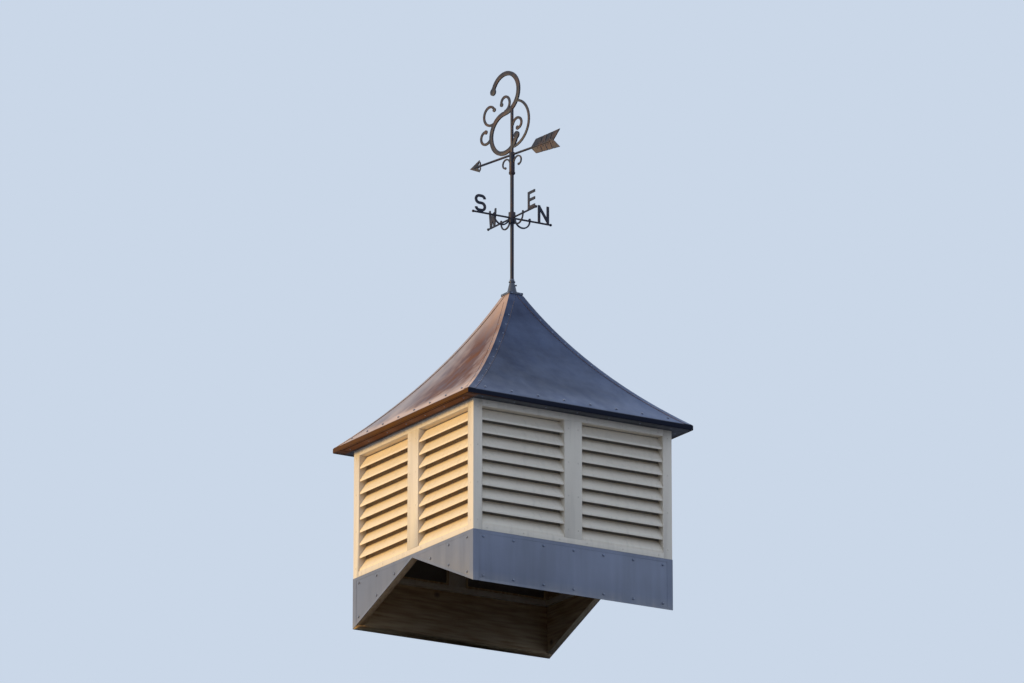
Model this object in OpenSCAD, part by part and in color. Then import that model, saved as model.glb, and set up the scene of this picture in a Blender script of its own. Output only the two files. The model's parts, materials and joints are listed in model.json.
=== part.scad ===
// Square louvred roof cupola with a flared hip roof and a turning weathervane.
// Millimetres, Z up. The origin is under the middle of the base, level with its lowest edges.
// X runs along the ridge of the garage roof, and Y runs across it. The front faces -Y.

/* [Base] */
// Width of the square body, over its corner posts
body_w = 1219; // [900:1:1500]
// Rise of the garage roof in each 12 of run, which the base is cut to
roof_pitch = 5; // [3:0.5:8]
// Board left standing over the top of the notch for the ridge
notch_web = 19; // [12:1:80]
// Thickness of the base boards
base_board_t = 38; // [19:1:50]
// Thickness of the painted steel around the base
cladding_t = 1.5; // [1:0.1:3]

/* [Louvred body] */
// Height of the body from the base to the underside of the soffit
body_h = 698; // [500:1:1000]
// Width and depth of a square corner post, which is also the depth of the rails
post_w = 55; // [50:1:90]
// Width of the mullion between the two louvre panels of a face
mullion_w = 108; // [60:1:160]
// Height of the bottom rail
bottom_rail_h = 30; // [24:1:120]
// Height of the head rail that shows below the soffit
head_rail_show = 34; // [30:1:120]
// Height that the posts and head rails run on above the soffit, to carry the rafters
plate_h = 30; // [20:1:60]

/* [Louvres] */
// Spacing of the louvre blades, up the panel
blade_pitch = 70; // [62:1:110]
// Thickness of a blade, measured straight up
blade_t = 12; // [8:1:20]
// Rise of a blade from its outer edge to its inner edge
blade_rise = 60; // [25:1:64]
// Set-back of the blades behind the face of the post
blade_recess = 6; // [3:0.5:12]
// Depth of the housing grooves that hold the ends of the blades
groove_d = 6; // [4:0.5:10]
// Post left between the grooves of its two faces
groove_web = 3; // [2:0.5:8]
// Clearance all round a blade's end in its groove
groove_gap = 0.3; // [0.1:0.1:0.8]
// Thickness of the insect screen
screen_t = 1.2; // [0.8:0.1:2]
// Gap between the blades and the insect screen
screen_gap = 2; // [1:0.5:5]

/* [Roof] */
// Overhang of the eave beyond the body
eave_overhang = 82; // [40:1:160]
// Height of the folded drip edge at the eave
drip_h = 22; // [16:1:50]
// Height of the roof from the top of the drip edge to its flat top
roof_rise = 790; // [500:1:1100]
// Width of the small flat square at the top of the roof
roof_top_w = 70; // [66:1:140]
// Depth that the roof's curve hangs below a straight slope
roof_sag = 55; // [20:1:90]
// Thickness of the roof sheet
sheet_t = 2; // [1:0.1:4]
// Thickness of the cap over each hip
hip_cap_t = 1.5; // [1:0.1:3]
// Width of the cap over each hip, seen from above
hip_cap_w = 60; // [40:1:80]
// Thickness of the soffit boards
soffit_t = 10; // [6:1:19]
// Width of a rafter
rafter_w = 38; // [25:1:50]
// Depth of a rafter under the sheet
rafter_d = 60; // [40:1:90]
// Width of the square king post under the top of the roof
king_post_w = 60; // [50:1:64]
// Length of the king post
king_post_h = 240; // [160:1:400]
// Overlap of the top cap beyond the flat top, on each side
cap_lap = 8; // [5:1:20]
// Height of the cap's turned-down edge
cap_skirt_h = 12; // [6:1:14]
// Thickness of the top cap's sheet
cap_t = 2.5; // [1.5:0.1:4]

/* [Weathervane] */
// Diameter of the fixed rod
rod_d = 20; // [16:1:26]
// Depth of the rod's socket in the king post
socket_depth = 110; // [60:1:140]
// Height of the rod's rounded tip above the roof
rod_h = 767; // [500:1:1000]
// Clearance round the rod in its socket, the collar and the hub
rod_gap = 0.2; // [0.1:0.05:0.5]
// Running clearance between the rod and the turning sleeve
running_gap = 0.1; // [0.04:0.01:0.1]
// Height of the turned collar on top of the cap
collar_h = 78; // [50:1:120]
// Diameter of the collar's foot
collar_d = 54; // [44:1:64]
// Height of the compass arms above the roof
compass_h = 425; // [300:1:520]
// Diameter of the compass hub
hub_d = 38; // [32:1:50]
// Height of the compass hub
hub_h = 60; // [40:1:80]
// Diameter of the compass arms
arm_d = 10; // [8:1:14]
// Distance from the rod to the middle of each compass letter
letter_reach = 197; // [150:1:260]
// Height of the compass letters
letter_h = 95; // [60:1:120]
// Width of the compass letters
letter_w = 70; // [50:1:90]
// Width of the strokes of the letters
stroke_w = 15; // [10:1:18]
// Thickness of the cut plates of the weathervane
plate_t = 6; // [4:0.5:8]
// Outer diameter of the turning sleeve
sleeve_d = 30; // [28:1:40]
// Length of the turning sleeve below the rod's tip
sleeve_h = 98; // [60:1:140]
// Diameter of the arrow's shaft
shaft_d = 12; // [10:1:14]
// Distance from the rod to the arrow's point
arrow_reach = 345; // [300:1:480]
// Distance from the rod to the tips of the arrow's tail
tail_reach = 390; // [340:1:520]
// Length of the tail's feather
feather_l = 235; // [160:1:300]
// Half height of the tail's feather
feather_h = 50; // [30:1:60]
// Height of the scrollwork over the arrow
ornament_h = 470; // [360:1:520]
// Width of the heavy bars of the scrollwork
heavy_bar = 24; // [14:1:28]
// Width of the light bars of the scrollwork
light_bar = 14; // [9:1:18]
// Thickness of the small curls behind the arrow's head
curl_t = 5; // [3:0.5:7]
// Thickness of the heavy bars of the scrollwork
heavy_t = 9; // [7:1:12]
// Side of the scrollwork's square stem
stem_t = 12; // [10:1:16]

/* [Hidden] */
$fn = 48;
FRONT = 0;
RIGHT = 1;
BACK = 2;
LEFT = 3;

// A boolean cut runs this far past what it cuts
over = 1;

// A piece stands off by this much where it would meet the next one end on
end_gap = 0.3;

body_r = body_w / 2;
pitch = roof_pitch / 12;
notch_h = body_r * pitch;
base_h = notch_h + notch_web;
soffit_z = base_h + body_h;
plate_z = soffit_z + plate_h;
rail_top_z = base_h + bottom_rail_h;
head_z = soffit_z - head_rail_show;
board_out = body_r - cladding_t;
board_in = board_out - base_board_t;

post_in = body_r - post_w;
panel_x0 = mullion_w / 2;
panel_h = head_z - rail_top_z;
blade_run = post_w - blade_recess - groove_d - groove_web;
blade_slope = blade_rise / blade_run;
blade_count = floor((panel_h - 2 * end_gap - blade_rise - blade_t) / blade_pitch) + 1;
screen_depth = blade_recess + blade_run + screen_gap;

eave_r = body_r + eave_overhang;
top_r = roof_top_w / 2;
eave_z = soffit_z + drip_h;
top_z = eave_z + roof_rise;
cap_r = top_r + cap_lap;
cap_z = top_z + cap_t;

// The roof's profile is one arc, hollow side out, through the eave and the top
chord_run = eave_r - top_r;
chord = norm([chord_run, roof_rise]);
arc_r = chord * chord / (8 * roof_sag) + roof_sag / 2;
arc_y = -(eave_r + top_r) / 2 - (arc_r - roof_sag) * roof_rise / chord;
arc_z = (eave_z + top_z) / 2 + (arc_r - roof_sag) * chord_run / chord;
ARC_FN = 720;

// Width of a scroll's eye as a multiple of its bar, and the steps round it
EYE = 1.7;
EYE_STEPS = 12;

rod_top_z = top_z + rod_h;
rod_bottom_z = top_z - socket_depth;
compass_z = top_z + compass_h;
sleeve_bottom_z = rod_top_z - sleeve_h;
shaft_z = rod_top_z + end_gap + shaft_d;

// Degrees that the vane at rest is turned from the line across the ridge
VANE_TURN = 9;
sleeve_top_z = shaft_z + shaft_d;
ornament_z = sleeve_top_z;

CLAY = "#d8c8a8";
STEEL = "#4b5666";
LUMBER = "#b58d5c";
SOFFIT = "#3f4650";
SCREEN = "#6b675e";
IRON = "#2b2a2c";

// Turns what is made for the front to another side of the square body
module on_side(side) {
    rotate([0, 0, 90 * side]) children();
}

// Extrudes an outline of [y, z] points along X
module along_x(x0, x1) {
    translate([x0, 0, 0])
        rotate([90, 0, 90])
            linear_extrude(x1 - x0) children();
}

// Stands a plate of an outline of [y, z] points in the plane x = 0
module upright_plate(t) {
    along_x(-t / 2, t / 2) children();
}

// Height of the garage roof's slope at a distance from the middle of the ridge
function slope_z(y) = (body_r - abs(y)) * pitch;

// Base: four boards cut to the garage roof, and the steel around them

module long_base_slab(out, in, half_l) {
    along_x(-half_l, half_l)
        polygon([
            [-out, slope_z(out)],
            [-in, slope_z(in)],
            [-in, base_h],
            [-out, base_h]
        ]);
}

module notched_base_slab(out, in, half_l) {
    along_x(-out, -in)
        polygon([
            [-half_l, slope_z(half_l)],
            [0, notch_h],
            [half_l, slope_z(half_l)],
            [half_l, base_h],
            [-half_l, base_h]
        ]);
}

module base_board_long() {
    color(LUMBER) long_base_slab(board_out, board_in, board_out);
}

module base_board_notched() {
    color(LUMBER) notched_base_slab(board_out, board_in, board_in);
}

module base_cladding_long() {
    color(STEEL) long_base_slab(body_r, board_out, body_r);
}

module base_cladding_notched() {
    color(STEEL) notched_base_slab(body_r, board_out, board_out);
}

// Louvred body: posts, mullions and rails, with the blades housed in grooves

// Outline of a blade, or of its groove when grown, on the front face: [y, z]
module blade_outline(z0, grow) {
    up = grow * norm([1, blade_slope]);
    lean = grow * blade_slope;
    y0 = -body_r + blade_recess - grow;
    y1 = -body_r + blade_recess + blade_run + grow;
    polygon([
        [y0, z0 - lean - up],
        [y1, z0 + blade_rise + lean - up],
        [y1, z0 + blade_rise + blade_t + lean + up],
        [y0, z0 + blade_t - lean + up]
    ]);
}

function blade_z(i) = rail_top_z + end_gap + i * blade_pitch;

// Grooves of one panel's blades, cut to a depth at x0 and at x1
module blade_grooves(x0, x1) {
    for (i = [0 : blade_count - 1])
        along_x(x0 - groove_d, x1 + groove_d)
            blade_outline(blade_z(i), groove_gap);
}

module corner_post() {
    color(CLAY)
        difference() {
            translate([-body_r, -body_r, base_h])
                cube([post_w, post_w, plate_z - base_h]);
            blade_grooves(-post_in, -panel_x0);
            rotate([0, 0, -90])
                blade_grooves(panel_x0, post_in);
        }
}

module mullion() {
    color(CLAY)
        difference() {
            translate([-panel_x0, -body_r, rail_top_z])
                cube([mullion_w, post_w, panel_h]);
            blade_grooves(-post_in, -panel_x0);
            blade_grooves(panel_x0, post_in);
        }
}

module bottom_rail() {
    color(CLAY)
        translate([-post_in, -body_r, base_h])
            cube([2 * post_in, post_w, bottom_rail_h]);
}

module head_rail() {
    color(CLAY)
        translate([-post_in, -body_r, head_z])
            cube([2 * post_in, post_w, plate_z - head_z]);
}

// The two panels of one face
module louvre_bank() {
    reach = groove_d - groove_gap;
    color(CLAY)
        for (x0 = [-post_in, panel_x0])
            for (i = [0 : blade_count - 1])
                along_x(x0 - reach, x0 + post_in - panel_x0 + reach)
                    blade_outline(blade_z(i), 0);
}

module insect_screens() {
    pane_w = post_in - panel_x0 - 2 * end_gap;
    color(SCREEN)
        for (side = [FRONT : LEFT])
            for (x0 = [-post_in, panel_x0])
                on_side(side)
                    translate([x0 + end_gap, -body_r + screen_depth, rail_top_z + end_gap])
                        cube([pane_w, screen_t, panel_h - 2 * end_gap]);
}

// Roof: four curved sheets on curved rafters, with a soffit under the eave

module ring_side(out, in) {
    polygon([[-out, -out], [out, -out], [in, -in], [-in, -in]]);
}

module soffit_boards() {
    out = eave_r - sheet_t;
    board_w = out - body_r;
    color(SOFFIT)
        for (side = [FRONT, BACK]) {
            on_side(side)
                translate([-out, -out, soffit_z])
                    cube([2 * out, board_w, soffit_t]);
            on_side(side + RIGHT)
                translate([-body_r + end_gap, -out, soffit_z])
                    cube([2 * (body_r - end_gap), board_w, soffit_t]);
        }
}

// Layer of the front slope, between two depths under the roof's outer surface
module slope_layer(d0, d1, out, in) {
    intersection() {
        translate([-out - over, arc_y, arc_z])
            rotate([0, 90, 0])
                difference() {
                    cylinder(r = arc_r + d1, h = 2 * (out + over), $fn = ARC_FN);
                    translate([0, 0, -over])
                        cylinder(r = arc_r + d0, h = 2 * (out + 2 * over), $fn = ARC_FN);
                }
        translate([0, 0, soffit_z])
            linear_extrude(cap_z + over - soffit_z)
                ring_side(out, in);
    }
}

// Layer along the hip between the left slope and the front slope
module hip_layer(d0, d1, w, out, in) {
    intersection() {
        union() {
            slope_layer(d0, d1, out, in);
            on_side(LEFT) slope_layer(d0, d1, out, in);
        }
        rotate([0, 0, 45])
            translate([-2 * eave_r, -w / 2, soffit_z])
                cube([2 * eave_r, w, cap_z + over - soffit_z]);
    }
}

module roof_panel() {
    color(STEEL)
        union() {
            slope_layer(0, sheet_t, eave_r, top_r);
            translate([0, 0, soffit_z])
                linear_extrude(drip_h)
                    ring_side(eave_r, eave_r - sheet_t);
        }
}

module hip_caps() {
    color(STEEL)
        for (side = [FRONT : LEFT])
            on_side(side)
                hip_layer(-hip_cap_t, 0, hip_cap_w, eave_r - sheet_t, cap_r + over);
}

// The upright slabs that the hip rafters are cut from
module hip_slabs(w) {
    for (turn = [45, -45])
        rotate([0, 0, turn])
            translate([-2 * eave_r, -w / 2, base_h])
                cube([4 * eave_r, w, top_z]);
}

// What the rafters are cut away by: the walls, the soffit, the king post and the top cap
module rafter_seats() {
    translate([-body_r, -body_r, base_h])
        cube([body_w, body_w, plate_z - base_h]);
    translate([-eave_r, -eave_r, base_h])
        cube([2 * eave_r, 2 * eave_r, soffit_z + soffit_t + end_gap - base_h]);
    translate([-king_post_w / 2, -king_post_w / 2, base_h])
        cube([king_post_w, king_post_w, top_z]);
    translate([-cap_r, -cap_r, top_z - end_gap])
        cube([2 * cap_r, 2 * cap_r, roof_rise]);
}

module hip_rafters() {
    color(LUMBER)
        for (side = [FRONT : LEFT])
            on_side(side)
                difference() {
                    hip_layer(sheet_t, sheet_t + rafter_d, rafter_w, eave_r - 2 * sheet_t, over);
                    rafter_seats();
                }
}

module common_rafters() {
    color(LUMBER)
        for (side = [FRONT : LEFT])
            on_side(side)
                difference() {
                    intersection() {
                        slope_layer(sheet_t, sheet_t + rafter_d, eave_r - 2 * sheet_t, over);
                        translate([-rafter_w / 2, -eave_r, base_h])
                            cube([rafter_w, eave_r, top_z]);
                    }
                    rafter_seats();
                    hip_slabs(rafter_w);
                }
}

module king_post() {
    color(LUMBER)
        difference() {
            translate([-king_post_w / 2, -king_post_w / 2, top_z - king_post_h])
                cube([king_post_w, king_post_w, king_post_h]);
            translate([0, 0, rod_bottom_z])
                cylinder(d = rod_d + 2 * rod_gap, h = socket_depth + over);
        }
}

// Sheet cap over the flat top, with the turned collar that steadies the rod
module roof_cap() {
    neck_d = rod_d + 8;
    bead_d = rod_d + 16;
    foot_h = 5;
    bead_z = collar_h - 18;
    bead_h = 10;
    color(STEEL)
        difference() {
            union() {
                translate([-cap_r, -cap_r, top_z])
                    cube([2 * cap_r, 2 * cap_r, cap_t]);
                difference() {
                    translate([-cap_r, -cap_r, cap_z - cap_skirt_h])
                        cube([2 * cap_r, 2 * cap_r, cap_skirt_h]);
                    translate([-cap_r + cap_t, -cap_r + cap_t, cap_z - cap_skirt_h - over])
                        cube([2 * (cap_r - cap_t), 2 * (cap_r - cap_t), cap_skirt_h]);
                }
                translate([0, 0, cap_z])
                    rotate_extrude()
                        polygon([
                            [0, 0],
                            [collar_d / 2, 0],
                            [collar_d / 2, foot_h],
                            [neck_d / 2, bead_z],
                            [bead_d / 2, bead_z + bead_h * 0.3],
                            [bead_d / 2, bead_z + bead_h * 0.7],
                            [neck_d / 2, bead_z + bead_h],
                            [neck_d / 2 - 2, collar_h],
                            [0, collar_h]
                        ]);
            }
            translate([0, 0, top_z - over])
                cylinder(d = rod_d + 2 * rod_gap, h = cap_t + collar_h + 2 * over);
        }
}

// Weathervane: a fixed rod with a compass, and a sleeve that turns with the arrow

module vane_rod() {
    tip_h = 3;
    color(IRON) {
        translate([0, 0, rod_bottom_z])
            cylinder(d = rod_d, h = rod_top_z - tip_h - rod_bottom_z);
        translate([0, 0, rod_top_z - tip_h])
            cylinder(d1 = rod_d, d2 = rod_d - 2 * tip_h, h = tip_h);
    }
}

// A point on a bar that winds from one radius to another: side is 1 outside and -1 inside
function wind(r0, r1, a0, a1, w, t, side) =
    let (r = r0 + (r1 - r0) * t + side * w / 2, a = a0 + (a1 - a0) * t)
    [r * cos(a), r * sin(a)];

// Outline of such a bar that ends in a round eye, from its outer corner to its inner one
function scroll_outline(r0, r1, a0, a1, w, steps) =
    let (
        eye_r = EYE * w / 2,
        wedge = asin(1 / EYE),
        stop = 1 - eye_r * cos(wedge) / (r1 * abs(a1 - a0) * PI / 180),
        out = [cos(a1), sin(a1)],
        back = sign(a1 - a0) * [sin(a1), -cos(a1)]
    )
    concat(
        [for (i = [0 : steps]) wind(r0, r1, a0, a1, w, stop * i / steps, 1)],
        [for (i = [1 : EYE_STEPS - 1])
            let (turn = wedge + (360 - 2 * wedge) * i / EYE_STEPS)
            r1 * out + eye_r * (cos(turn) * back + sin(turn) * out)],
        [for (i = [steps : -1 : 0]) wind(r0, r1, a0, a1, w, stop * i / steps, -1)]
    );

module scroll(r0, r1, a0, a1, w, steps = 20) {
    polygon(scroll_outline(r0, r1, a0, a1, w, steps));
}

// An S of two like scrolls that meet at the origin
module double_scroll(r0, r1, sweep, w, steps) {
    outline = scroll_outline(r0, r1, -90, -90 + sweep, w, steps);
    half = [for (i = [1 : len(outline) - 1]) outline[i] + [0, r0]];
    polygon(concat(half, -half));
}

// A plain bar bent to an arc
module arc_bar(r, a0, a1, w, steps) {
    polygon(concat(
        [for (i = [0 : steps]) wind(r, r, a0, a1, w, i / steps, 1)],
        [for (i = [steps : -1 : 0]) wind(r, r, a0, a1, w, i / steps, -1)]
    ));
}

module compass_arms() {
    brace_r = 46;
    brace_w = 8;
    arm_end = letter_reach + letter_w / 2 + arm_d;
    color(IRON)
        difference() {
            union() {
                translate([0, 0, compass_z - hub_h / 2])
                    cylinder(d = hub_d, h = hub_h);
                for (side = [FRONT : LEFT])
                    on_side(side) {
                        translate([0, 0, compass_z])
                            rotate([90, 0, 0]) {
                                cylinder(d = arm_d, h = arm_end);
                                translate([0, 0, arm_end])
                                    sphere(d = 1.5 * arm_d, $fn = 24);
                            }
                        translate([0, 0, compass_z])
                            upright_plate(plate_t)
                                translate([-hub_d / 2 - brace_r, 0])
                                    scroll(brace_r, brace_r, 0, -190, brace_w);
                    }
            }
            translate([0, 0, compass_z - hub_h / 2 - over])
                cylinder(d = rod_d + 2 * rod_gap, h = hub_h + 2 * over);
        }
}

// Strokes of the compass letters, in a box letter_w wide and letter_h high

module bar(x0, y0, x1, y1) {
    length = norm([x1 - x0, y1 - y0]);
    translate([x0, y0])
        rotate(atan2(y1 - y0, x1 - x0))
            translate([0, -stroke_w / 2])
                square([length, stroke_w]);
}

module letter_box() {
    translate([-letter_w / 2, 0]) square([letter_w, letter_h]);
}

module upright_stroke(x) {
    translate([x - stroke_w / 2, 0]) square([stroke_w, letter_h]);
}

module letter_n() {
    edge = letter_w / 2 - stroke_w / 2;
    upright_stroke(-edge);
    upright_stroke(edge);
    intersection() {
        letter_box();
        bar(-edge - stroke_w, letter_h + stroke_w, edge + stroke_w, -stroke_w);
    }
}

module letter_e() {
    upright_stroke(-letter_w / 2 + stroke_w / 2);
    for (y = [0, (letter_h - stroke_w) / 2, letter_h - stroke_w])
        translate([-letter_w / 2, y]) square([letter_w, stroke_w]);
}

module letter_w() {
    half = letter_w / 2;
    intersection() {
        letter_box();
        union() {
            bar(-half + stroke_w * 0.2, letter_h + stroke_w, -half / 2, -stroke_w * 0.3);
            bar(-half / 2, -stroke_w * 0.3, 0, letter_h * 0.75);
            bar(half / 2, -stroke_w * 0.3, 0, letter_h * 0.75);
            bar(half - stroke_w * 0.2, letter_h + stroke_w, half / 2, -stroke_w * 0.3);
        }
    }
}

module letter_s() {
    bend_r = (letter_h - stroke_w) / 4;
    stretch = (letter_w - stroke_w) / 2 - bend_r;
    mid = letter_h / 2;
    for (turn = [0, 180])
        translate([0, mid])
            rotate(turn)
                translate([-stretch, bend_r]) {
                    arc_bar(bend_r, 90, 270, stroke_w, 12);
                    translate([0, bend_r - stroke_w / 2])
                        square([2 * stretch, stroke_w]);
                    translate([0, -bend_r - stroke_w / 2])
                        square([2 * stretch, stroke_w]);
                    translate([2 * stretch, 0])
                        arc_bar(bend_r, 90, 10, stroke_w, 6);
                }
}

// Stands a letter on the arm of one side, reversed where it would read from behind
module stand_letter(side, reversed) {
    on_side(side)
        translate([0, -letter_reach, compass_z + arm_d / 2])
            upright_plate(plate_t)
                mirror([reversed ? 1 : 0, 0]) children();
}

module compass_letters() {
    color(IRON) {
        stand_letter(FRONT, true) letter_e();
        stand_letter(RIGHT, true) letter_n();
        stand_letter(BACK, false) letter_w();
        stand_letter(LEFT, false) letter_s();
    }
}

// Turns what is made along Y to the quarter that the vane points to at rest
module to_wind() {
    rotate([0, 0, VANE_TURN]) children();
}

// The turning sleeve, with the small scrolls that brace the arrow
module vane_sleeve() {
    brace_r = 36;
    brace_w = 8;
    brace_z = shaft_z - shaft_d / 2 - end_gap - brace_w / 2 - brace_r;
    color(IRON)
        difference() {
            union() {
                translate([0, 0, sleeve_bottom_z])
                    cylinder(d = sleeve_d, h = sleeve_top_z - sleeve_bottom_z);
                for (flip = [0, 1])
                    mirror([0, flip, 0])
                        upright_plate(plate_t)
                            translate([sleeve_d / 2 + brace_r, brace_z])
                                scroll(brace_r, brace_r * 0.5, 180, -80, brace_w);
            }
            translate([0, 0, sleeve_bottom_z - over])
                cylinder(d = rod_d + 2 * running_gap, h = sleeve_h + end_gap + over);
            translate([0, 0, shaft_z])
                rotate([90, 0, 0])
                    translate([0, 0, -sleeve_d])
                        cylinder(d = shaft_d + 2 * rod_gap, h = 2 * sleeve_d);
        }
}

// Arrow of the vane: head towards +Y, feather towards -Y
module vane_arrow() {
    head_l = 78;
    head_h = 34;
    barb = 16;
    curl_r = 16;
    curl_bar = 7;
    slits = 3;
    slit_w = 5;
    head_y = arrow_reach - head_l;
    color(IRON)
        translate([0, 0, shaft_z])
            union() {
                rotate([90, 0, 0])
                    translate([0, 0, -arrow_reach + head_l / 2])
                        cylinder(d = shaft_d, h = arrow_reach - head_l / 2 + tail_reach - feather_l / 3);
                upright_plate(plate_t)
                    polygon([
                        [arrow_reach, 0],
                        [head_y, head_h],
                        [head_y + barb, 0],
                        [head_y, -head_h]
                    ]);
                for (flip = [0, 1])
                    mirror([0, 0, flip])
                        upright_plate(curl_t)
                            translate([head_y + curl_bar, head_h - curl_r - curl_bar])
                                scroll(curl_r, 0.6 * curl_r, 90, 290, curl_bar);
                upright_plate(plate_t)
                    difference() {
                        polygon([
                            [-tail_reach + feather_l, 0],
                            [-tail_reach + feather_l * 0.82, feather_h * 0.8],
                            [-tail_reach, feather_h],
                            [-tail_reach + feather_l * 0.22, 0],
                            [-tail_reach, -feather_h],
                            [-tail_reach + feather_l * 0.82, -feather_h * 0.8]
                        ]);
                        for (i = [0 : slits - 1])
                            for (flip = [0, 1])
                                mirror([0, flip])
                                    translate([-tail_reach + feather_l * (0.32 + 0.17 * i), shaft_d])
                                        rotate(115)
                                            square([feather_h * 1.2, slit_w]);
                    }
            }
}

// Openwork over the arrow: a heavy S beside a stem, with light scrolls joined to them.
// Its centres are in radii of the heavy scrolls, from the middle of the S.
module vane_scrollwork() {
    end_share = 0.85;
    sweep = 255;
    reach = 2 - (1 - end_share) * 180 / sweep;
    s_r = (ornament_h - heavy_bar) / 2 / reach;
    s_x = -0.50 * s_r;
    s_z = ornament_h / 2;
    inner_r = 0.36 * s_r;
    color(IRON)
        translate([0, 0, ornament_z])
            mirror([0, 1, 0]) {
                upright_plate(heavy_t)
                    translate([s_x, s_z])
                        double_scroll(s_r, s_r * end_share, sweep, heavy_bar, 26);
                upright_plate(plate_t)
                    translate([s_x, s_z]) {
                        translate([0.58, -0.60] * s_r)
                            scroll(1.14 * s_r, 1.06 * s_r, -100, 80, light_bar);
                        translate([-1.00, 0.20] * s_r)
                            scroll(0.58 * s_r, 0.30 * s_r, -48, -330, light_bar);
                        translate([-1.36, -0.80] * s_r)
                            scroll(0.43 * s_r, 0.22 * s_r, 0, -280, light_bar);
                        translate([-0.02, 0.50] * s_r)
                            scroll(0.42 * s_r, 0.21 * s_r, -90, 190, light_bar);
                    }
                upright_plate(plate_t)
                    translate([stem_t / 2 + inner_r, s_z - 0.72 * s_r])
                        scroll(inner_r, inner_r / 2, 180, -100, light_bar);
                upright_plate(stem_t)
                    translate([-stem_t / 2, 0])
                        square([stem_t, s_z + heavy_bar]);
            }
}

base_board_long();  // base_board_front
on_side(BACK) base_board_long();  // base_board_back
base_board_notched();  // base_board_left
on_side(BACK) base_board_notched();  // base_board_right
base_cladding_long();  // base_cladding_front
on_side(BACK) base_cladding_long();  // base_cladding_back
base_cladding_notched();  // base_cladding_left
on_side(BACK) base_cladding_notched();  // base_cladding_right
corner_post();  // corner_post_front_left
on_side(RIGHT) corner_post();  // corner_post_front_right
on_side(BACK) corner_post();  // corner_post_back_right
on_side(LEFT) corner_post();  // corner_post_back_left
mullion();  // mullion_front
on_side(RIGHT) mullion();  // mullion_right
on_side(BACK) mullion();  // mullion_back
on_side(LEFT) mullion();  // mullion_left
bottom_rail();  // bottom_rail_front
on_side(RIGHT) bottom_rail();  // bottom_rail_right
on_side(BACK) bottom_rail();  // bottom_rail_back
on_side(LEFT) bottom_rail();  // bottom_rail_left
head_rail();  // head_rail_front
on_side(RIGHT) head_rail();  // head_rail_right
on_side(BACK) head_rail();  // head_rail_back
on_side(LEFT) head_rail();  // head_rail_left
louvre_bank();  // louvres_front
on_side(RIGHT) louvre_bank();  // louvres_right
on_side(BACK) louvre_bank();  // louvres_back
on_side(LEFT) louvre_bank();  // louvres_left
insect_screens();
soffit_boards();
roof_panel();  // roof_panel_front
on_side(RIGHT) roof_panel();  // roof_panel_right
on_side(BACK) roof_panel();  // roof_panel_back
on_side(LEFT) roof_panel();  // roof_panel_left
hip_caps();
hip_rafters();
common_rafters();
king_post();
roof_cap();
vane_rod();
compass_arms();
compass_letters();
to_wind() vane_sleeve();
to_wind() vane_arrow();
to_wind() vane_scrollwork();
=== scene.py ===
# %% [markdown]
# # A louvred roof cupola with a weathervane
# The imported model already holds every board, sheet and bar of the cupola at its true size.
# This script dresses it: softened board edges, folded hems, fasteners, wire screens and finishes.
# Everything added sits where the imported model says, so nothing has to be fitted by eye.

import json
import math

import bmesh
import bpy
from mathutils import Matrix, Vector
from mathutils.bvhtree import BVHTree

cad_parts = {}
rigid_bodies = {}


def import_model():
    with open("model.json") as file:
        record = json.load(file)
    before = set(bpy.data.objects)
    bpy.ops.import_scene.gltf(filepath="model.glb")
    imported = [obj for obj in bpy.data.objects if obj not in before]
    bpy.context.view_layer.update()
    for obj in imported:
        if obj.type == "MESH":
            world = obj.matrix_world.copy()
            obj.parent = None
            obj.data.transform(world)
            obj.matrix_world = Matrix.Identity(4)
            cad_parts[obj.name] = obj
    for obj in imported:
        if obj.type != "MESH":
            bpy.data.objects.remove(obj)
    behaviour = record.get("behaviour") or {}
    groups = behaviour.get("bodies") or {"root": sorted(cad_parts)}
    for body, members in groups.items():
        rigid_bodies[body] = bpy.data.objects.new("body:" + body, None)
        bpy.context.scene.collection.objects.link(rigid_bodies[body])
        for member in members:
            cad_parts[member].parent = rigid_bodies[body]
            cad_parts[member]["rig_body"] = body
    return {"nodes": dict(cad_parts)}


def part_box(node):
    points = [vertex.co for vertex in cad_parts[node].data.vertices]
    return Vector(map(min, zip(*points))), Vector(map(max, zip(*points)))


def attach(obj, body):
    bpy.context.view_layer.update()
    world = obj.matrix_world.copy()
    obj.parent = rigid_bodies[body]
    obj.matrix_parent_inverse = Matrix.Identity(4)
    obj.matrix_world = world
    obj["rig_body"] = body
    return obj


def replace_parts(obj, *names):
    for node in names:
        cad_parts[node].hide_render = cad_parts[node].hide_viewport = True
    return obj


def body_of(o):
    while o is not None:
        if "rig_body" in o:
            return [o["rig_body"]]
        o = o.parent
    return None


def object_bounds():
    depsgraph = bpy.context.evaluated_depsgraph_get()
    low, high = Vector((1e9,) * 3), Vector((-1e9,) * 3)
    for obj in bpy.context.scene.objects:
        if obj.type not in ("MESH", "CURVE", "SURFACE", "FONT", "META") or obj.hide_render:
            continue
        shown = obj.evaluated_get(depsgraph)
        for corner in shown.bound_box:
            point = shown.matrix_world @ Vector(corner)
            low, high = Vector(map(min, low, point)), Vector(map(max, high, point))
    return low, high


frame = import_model()
cad_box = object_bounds()
MM = 0.001
UP = Vector((0, 0, 1))
# The way that each side of the square body faces
SIDES = {
    "front": Vector((0, -1, 0)),
    "right": Vector((1, 0, 0)),
    "back": Vector((0, 1, 0)),
    "left": Vector((-1, 0, 0)),
}
# The corners of a square about the middle, from the front left one
CORNERS = [Vector((-1, -1, 0)), Vector((1, -1, 0)), Vector((1, 1, 0)), Vector((-1, 1, 0))]
print("packed model:", len(frame["nodes"]), "nodes,", [round(v, 3) for v in cad_box[1] - cad_box[0]], "m")

# %% [markdown]
# A few small helpers carry the whole script. Colours are written the way a paint chart shows
# them, and turned to the linear values that a renderer mixes. Nodes could be placed and joined by
# hand in the editor. Here one function adds any of them, for finishes and for Geometry Nodes
# alike, so that every value and link can be read beside the reason for it.

# %% Helpers for objects, colours and nodes


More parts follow.
